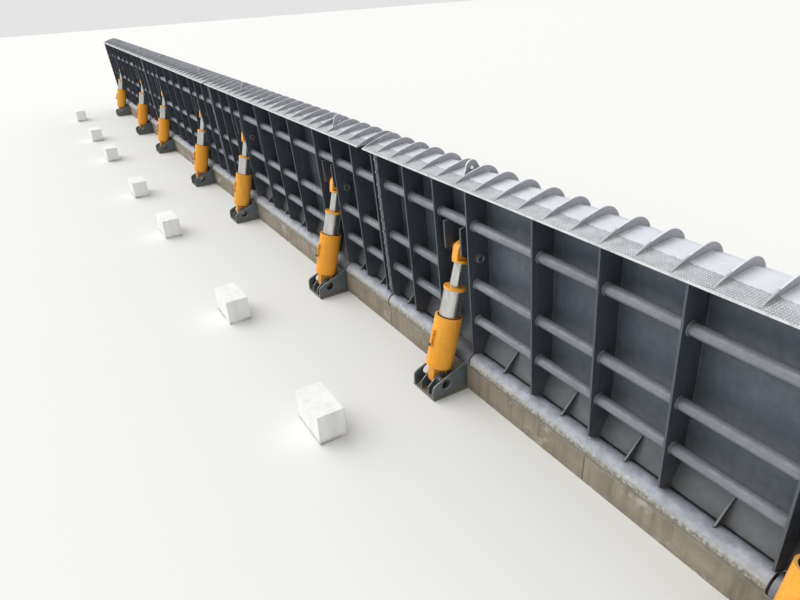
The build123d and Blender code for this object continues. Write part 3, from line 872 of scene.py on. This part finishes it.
# a bead swept along every edge of the seeds
def makeBeadTree():
    sizes = {"Bead Radius": 0.005, "Step": 0.014, "Ripple": 0.003, "Ripple Scale": 60.0, "Sides": 6, "Seed": 1}
    tree, entry = newTree("weldBeads", sizes)
    path = addNode(tree, "GeometryNodeMeshToCurve", i0=entry["Geometry"]).outputs[0]
    fine = addNode(tree, "GeometryNodeResampleCurve", {"mode": "LENGTH"}, Curve=path, Length=entry["Step"])
    bead = sweepBead(tree, entry, fine.outputs[0], True)
    endTree(tree, entry, rippled(tree, entry, bead), smooth=True)
    return tree


# a ring of weld round every seed, in the plane across its X axis
def makeWeldRingTree():
    sizes = {"Ring Radius": 0.053, "Bead Radius": 0.006, "Segments": 28, "Ripple": 0.004}
    sizes.update({"Ripple Scale": 55.0, "Sides": 6, "Seed": 1})
    tree, entry = newTree("weldRings", sizes)
    circle = {"Resolution": entry["Segments"], "Radius": entry["Ring Radius"]}
    path = addNode(tree, "GeometryNodeCurvePrimitiveCircle", **circle).outputs[0]
    ring = sweepBead(tree, entry, path, False)
    stood = addNode(tree, "GeometryNodeTransform", i0=ring, Rotation=(0, math.radians(90), 0)).outputs[0]
    many = copyOnto(tree, entry["Geometry"], stood)
    loose = addNode(tree, "GeometryNodeRealizeInstances", i0=many).outputs[0]
    endTree(tree, entry, rippled(tree, entry, loose), smooth=True)
    return tree


# raised bars of tread plate, turned one way and the other in turn, on a strip that lies flat
def makeTreadTree():
    sizes = {"Length": 5.8, "Width": 0.2, "Pitch": 0.026}
    sizes.update({"Bar Length": 0.021, "Bar Width": 0.006, "Bar Height": 0.0016})
    tree, entry = newTree("treadPlate", sizes)
    inputs = {"Size X": entry["Length"], "Size Y": entry["Width"]}
    inputs["Vertices X"] = maths(tree, "DIVIDE", entry["Length"], entry["Pitch"])
    inputs["Vertices Y"] = maths(tree, "DIVIDE", entry["Width"], entry["Pitch"])
    grid = addNode(tree, "GeometryNodeMeshGrid", **inputs)
    place = addNode(tree, "ShaderNodeSeparateXYZ", i0=addNode(tree, "GeometryNodeInputPosition").outputs[0])
    total = maths(tree, "ADD", place.outputs[0], place.outputs[1])
    whole = maths(tree, "ROUND", maths(tree, "DIVIDE", total, entry["Pitch"]))
    odd = maths(tree, "FLOORED_MODULO", whole, 2.0)
    turn = maths(tree, "MULTIPLY_ADD", odd, math.pi / 2, math.pi / 4)
    spin = addNode(tree, "ShaderNodeCombineXYZ", Z=turn).outputs[0]
    reach = {"X": entry["Bar Length"], "Y": entry["Bar Width"], "Z": entry["Bar Height"]}
    size = addNode(tree, "ShaderNodeCombineXYZ", **reach).outputs[0]
    knob = addNode(tree, "GeometryNodeMeshIcoSphere", Radius=0.5, Subdivisions=1).outputs[0]
    shape = addNode(tree, "GeometryNodeTransform", i0=knob, Scale=size).outputs[0]
    endTree(tree, entry, copyOnto(tree, grid.outputs[0], shape, Rotation=spin))
    return tree


boltTree = makeBoltTree()
beadTree = makeBeadTree()
weldRingTree = makeWeldRingTree()
treadTree = makeTreadTree()

print("stage: bolts")

seamBolts = {"fromEnd": 0.031, "first": 0.24, "last": 1.69, "pitch": 0.138, "face": -0.058}
seamBoltSizes = {"Head Radius": 0.0139, "Head Height": 0.010, "Washer Radius": 0.0165, "Washer Height": 0.003}


def addSeamBolts(number):
    count = round((seamBolts["last"] - seamBolts["first"]) / seamBolts["pitch"]) + 1
    pitch = (seamBolts["last"] - seamBolts["first"]) / (count - 1)
    x = -gate["leafHalf"] + seamBolts["fromEnd"]
    spots = [(x, seamBolts["face"], seamBolts["first"] + pitch * i) for i in range(count)]
    seeds = seedMesh("seamBoltSeeds", spots, [(90, 0, 0)] * count)
    mesh = grow("leaf_%d_seam_bolts" % number, boltTree, seeds, seamBoltSizes, number, "boltSteel")
    addToLeaf(number, mesh)


for number in leafNumbers:
    addSeamBolts(number)

anchorNuts = {"halfSpacing": 0.11, "middle": -0.32, "floorPlate": 0.016, "seed": 9}
anchorNutSizes = {
    "Head Radius": 0.0208,
    "Head Height": 0.0205,
    "Washer Radius": 0.024,
    "Washer Height": 0.004,
    "Stud Radius": 0.012,
    "Stud Height": 0.038,
}


def addAnchorNuts():
    half = anchorNuts["halfSpacing"]
    spots = []
    for x in cylinderMiddles:
        for shiftX in (-half, half):
            for shiftY in (-half, half):
                spots.append((x + shiftX, anchorNuts["middle"] + shiftY, anchorNuts["floorPlate"]))
    seeds = seedMesh("anchorNutSeeds", spots, [(0, 0, 0)] * len(spots))
    mesh = grow("anchor_nuts", boltTree, seeds, anchorNutSizes, anchorNuts["seed"], "boltSteel")
    addPiece(mesh, "foundation")


addAnchorNuts()

print("stage: welds")

# turns of a weld round the hinge tube, in radians from the top towards upstream
footArcs = {"rib": (0.03, 0.80), "gusset": (-0.11, 0.80), "steps": 6}
# the last rib ends lower, under the next leaf's deck
lastRibTop = 1.705
weldSizes = {"Bead Radius": 0.0065, "Step": 0.016, "Ripple": 0.004, "Ripple Scale": 70.0, "Sides": 6}


def footArc(edge, start, stop):
    spots = []
    for i in range(footArcs["steps"] + 1):
        turn = start + (stop - start) * i / footArcs["steps"]
        spots.append((edge, gate["tubeRadius"] * math.sin(turn), gate["tubeRadius"] * math.cos(turn)))
    return spots


def runSeeds(name, runs):
    spots, edges = [], []
    for run in runs:
        edges += [(len(spots) + i, len(spots) + i + 1) for i in range(len(run) - 1)]
        spots += run
    return seedMesh(name, spots, edges=edges)


# the bays between ribs, and whether a cylinder's lugs stand at their sides
def bays():
    for left, right in zip(gate["ribs"], gate["ribs"][1:]):
        yield left, right, abs(abs(left + right) / 2 - gate["cylinderOffset"]) < gate["ribHalf"]


def addRibWelds(number):
    runs = []
    for x in gate["ribs"]:
        top = lastRibTop if x == gate["ribs"][-1] else gate["deckUnder"]
        for side in (-1, 1):
            edge = x + side * gate["ribHalf"]
            bend = (edge, gate["skinFront"], gate["skinBend"])
            runs.append([(edge, *gate["skinFoot"]), bend, (edge, gate["skinFront"], top)])
            runs.append(footArc(edge, *footArcs["rib"]))
    for left, right, atLugs in bays():
        for side in () if atLugs else (-1, 1):
            edge = (left + right) / 2 + side * gate["gussetHalf"]
            runs.append([(edge, *gate["skinFoot"]), (edge, gate["skinFront"], gate["skinBend"])])
            runs.append(footArc(edge, *footArcs["gusset"]))
    seeds = runSeeds("ribWeldSeeds", runs)
    mesh = grow("leaf_%d_rib_welds" % number, beadTree, seeds, weldSizes, number, "seamPaint")
    addToLeaf(number, mesh)


pipeWeldOut = 0.001
pipeWeldSizes = {"Ring Radius": 0.0480, "Bead Radius": 0.0045, "Segments": 28, "Ripple": 0.005, "Ripple Scale": 60.0}


def addPipeWelds(number):
    rings = []
    for left, right, atLugs in bays():
        for row in gate["pipeRows"][-1:] if atLugs else gate["pipeRows"]:
            rings.append((left + gate["ribHalf"] + pipeWeldOut, gate["pipeAcross"], row))
            rings.append((right - gate["ribHalf"] - pipeWeldOut, gate["pipeAcross"], row))
    seeds = seedMesh("pipeWeldSeeds", rings)
    mesh = grow("leaf_%d_pipe_welds" % number, weldRingTree, seeds, pipeWeldSizes, number, "weldPaint")
    addToLeaf(number, mesh)


for number in leafNumbers:
    addRibWelds(number)
    addPipeWelds(number)

# silt in the slit between the kerb's edge and the tubes
siltLine = {"spot": (-0.0630, 0.2552), "ends": (-12.24, 12.24), "seed": 5}
siltSizes = {"Bead Radius": 0.0028, "Step": 0.04, "Ripple": 0.0015, "Ripple Scale": 25.0, "Sides": 6}


def addSiltLine():
    seeds = runSeeds("siltSeeds", [[(x, *siltLine["spot"]) for x in siltLine["ends"]]])
    mesh = grow("kerb_silt", beadTree, seeds, siltSizes, siltLine["seed"], "kerbConcrete")
    addPiece(mesh, "foundation")


addSiltLine()

print("stage: crest")

crestFins = {"count": 23, "halfThickness": 0.006, "toe": -0.044}
finWeldSizes = {"Bead Radius": 0.0042, "Step": 0.012, "Ripple": 0.0035, "Ripple Scale": 95.0, "Sides": 6}


def deckHeight(across):
    front, ridge = gate["deckFront"], gate["deckRidge"]
    return front[1] + (across - front[0]) * (ridge[1] - front[1]) / (ridge[0] - front[0])


def finPlaces():
    span = gate["deckLength"] - 2 * crestFins["halfThickness"]
    gaps = crestFins["count"] - 1
    return [gate["deckMiddle"] - span / 2 + i * span / gaps for i in range(crestFins["count"])]


def addFinWelds(number):
    runs = []
    for x in finPlaces():
        for side in (-1, 1):
            edge = x + side * crestFins["halfThickness"]
            runs.append([(edge, crestFins["toe"], deckHeight(crestFins["toe"])), (edge, *gate["deckRidge"])])
    seeds = runSeeds("finWeldSeeds", runs)
    mesh = grow("leaf_%d_fin_welds" % number, beadTree, seeds, finWeldSizes, number, "crestPaint")
    addToLeaf(number, mesh)


treadStrip = {"from": -0.052, "to": 0.118, "margin": 0.02}
# start after each fin and length of the two beads that hold the tread sheet's upper edge
treadTacks = {"runs": ((0.012, 0.055), (0.150, 0.025)), "sag": 0.004}
treadTackSizes = {"Bead Radius": 0.0048, "Step": 0.010, "Ripple": 0.006, "Ripple Scale": 90.0, "Sides": 6}


def addTreadTacks(number):
    across = treadStrip["to"]
    sag = across - treadTacks["sag"]
    runs = []
    for x in finPlaces()[:-1]:
        for start, length in treadTacks["runs"]:
            first, last = x + start, x + start + length
            middle = ((first + last) / 2, sag, deckHeight(sag))
            runs.append([(first, across, deckHeight(across)), middle, (last, across, deckHeight(across))])
    seeds = runSeeds("tackSeeds", runs)
    mesh = grow("leaf_%d_tread_tacks" % number, beadTree, seeds, treadTackSizes, number, "tackPaint")
    addToLeaf(number, mesh)


treadSizes = {"Pitch": 0.018, "Bar Length": 0.0172, "Bar Width": 0.0066, "Bar Height": 0.0020}


def addTreadBars(number):
    front, ridge = gate["deckFront"], gate["deckRidge"]
    sizes = {**treadSizes, "Length": gate["deckLength"] - treadStrip["margin"]}
    sizes["Width"] = treadStrip["to"] - treadStrip["from"]
    seeds = seedMesh("treadSeeds", [(0, 0, 0)])
    mesh = grow("leaf_%d_tread_bars" % number, treadTree, seeds, sizes, number, "treadPaint")
    middle = (treadStrip["from"] + treadStrip["to"]) / 2
    slope = Matrix.Rotation(math.atan2(ridge[1] - front[1], ridge[0] - front[0]), 4, "X")
    lay = Matrix.Translation((gate["deckMiddle"], middle, deckHeight(middle))) @ slope
    addToLeaf(number, mesh, lay)


for number in leafNumbers:
    addFinWelds(number)
    addTreadTacks(number)
    addTreadBars(number)

print("stage: pins and cylinders")


# a turned ring about the X axis from (x, radius) corners
def latheX(name, corners, centre, segments, finish):
    spots, faces = [], []
    count = len(corners)
    for i in range(segments):
        angle = 2 * math.pi * i / segments
        for x, radius in corners:
            turned = (x, radius * math.cos(angle), radius * math.sin(angle))
            spots.append([centre[axis] + turned[axis] for axis in range(3)])
        after = (i + 1) % segments
        for k in range(count):
            other = (k + 1) % count
            faces.append((i * count + k, i * count + other, after * count + other, after * count + k))
    mesh = bpy.data.meshes.new(name)
    mesh.from_pydata(spots, [], faces)
    mesh.materials.append(finishes[finish])
    work = bmesh.new()
    work.from_mesh(mesh)
    bmesh.ops.recalc_face_normals(work, faces=work.faces)
    work.to_mesh(mesh)
    work.free()
    return mesh


def joinMeshes(name, meshes):
    work = bmesh.new()
    for mesh in meshes:
        work.from_mesh(mesh)
    joined = bpy.data.meshes.new(name)
    work.to_mesh(joined)
    work.free()
    for material in meshes[0].materials:
        joined.materials.append(material)
    for mesh in meshes:
        bpy.data.meshes.remove(mesh)
    return joined


pinRing = {"inner": 0.027, "outer": 0.040, "height": 0.005, "sunk": 0.002, "chamfer": 0.0015, "segments": 40}
# how far the boss round the pin stands out of the rib
bossStand = 0.015


def addPinRings(number):
    inner, outer, height, sunk, chamfer, segments = pinRing.values()
    low = height - chamfer
    corners = [(-sunk, inner), (low, inner), (height, inner + chamfer), (height, outer - chamfer)]
    corners += [(low, outer), (-sunk, outer)]
    rings = []
    for middle in (-gate["cylinderOffset"], gate["cylinderOffset"]):
        for outward in (-1, 1):
            face = middle + outward * (gate["lugHalfBay"] + gate["ribHalf"] + bossStand)
            turned = [(outward * x, radius) for x, radius in corners]
            rings.append(latheX("ring", turned, (face, *gate["topPin"]), segments, "boltSteel"))
    addToLeaf(number, joinMeshes("leaf_%d_pin_rings" % number, rings))


for number in leafNumbers:
    addPinRings(number)

basePinCollar = {"start": 0.0695, "end": 0.083, "inner": 0.0395, "outer": 0.054, "chamfer": 0.002, "segments": 40}


def addBasePinCollars():
    start, end, inner, outer, chamfer, segments = basePinCollar.values()
    corners = [(start, inner), (start, outer), (end - chamfer, outer), (end, outer - chamfer), (end, inner)]
    rings = []
    for middle in cylinderMiddles:
        for side in (-1, 1):
            turned = [(side * x, radius) for x, radius in corners]
            rings.append(latheX("collar", turned, (middle, *gate["basePin"]), segments, "boltSteel"))
    addPiece(joinMeshes("base_pin_collars", rings), "foundation")


addBasePinCollars()

portCap = {"height": 0.365, "stand": 0.028}
portCapSizes = {
    "Head Radius": 0.0165,
    "Head Height": 0.016,
    "Washer Radius": 0.018,
    "Washer Height": 0.003,
    "Stud Radius": 0.0105,
    "Stud Height": 0.026,
}


def addPortCap(number):
    reach = gate["barrelRadius"] + portCap["stand"]
    seeds = seedMesh("portSeeds", [(0, -reach, portCap["height"])], [(90, 0, 0)])
    mesh = grow("cylinder_%d_port_caps" % number, boltTree, seeds, portCapSizes, number, "boltSteel")
    mesh.transform(cylinderPlace(number))
    addPiece(mesh, "barrel_%d" % number)


wiper = {"inner": 0.1006, "outer": 0.1122, "foot": 0.600, "height": 0.010, "segments": 48}
# the height of the wiper's foot, and the lip's thickness at its foot and top
wiperLip = (0.004, 0.006, 0.003)


# the dark wiper that lies round the first stage inside the barrel's rim
def addWiper(number):
    inner, outer, foot, height, segments = wiper.values()
    step, wide, narrow = wiperLip
    corners = [(0.0, inner), (0.0, outer), (step, outer), (step, inner + wide)]
    corners += [(height, inner + narrow), (height, inner)]
    mesh = latheX("cylinder_%d_wiper" % number, corners, (0, 0, 0), segments, "rubber")
    upright = Matrix.Rotation(math.radians(-90), 4, "Y")
    mesh.transform(cylinderPlace(number) @ Matrix.Translation((0, 0, foot)) @ upright)
    addPiece(mesh, "barrel_%d" % number)


for number in cylinderNumbers:
    addPortCap(number)
    addWiper(number)
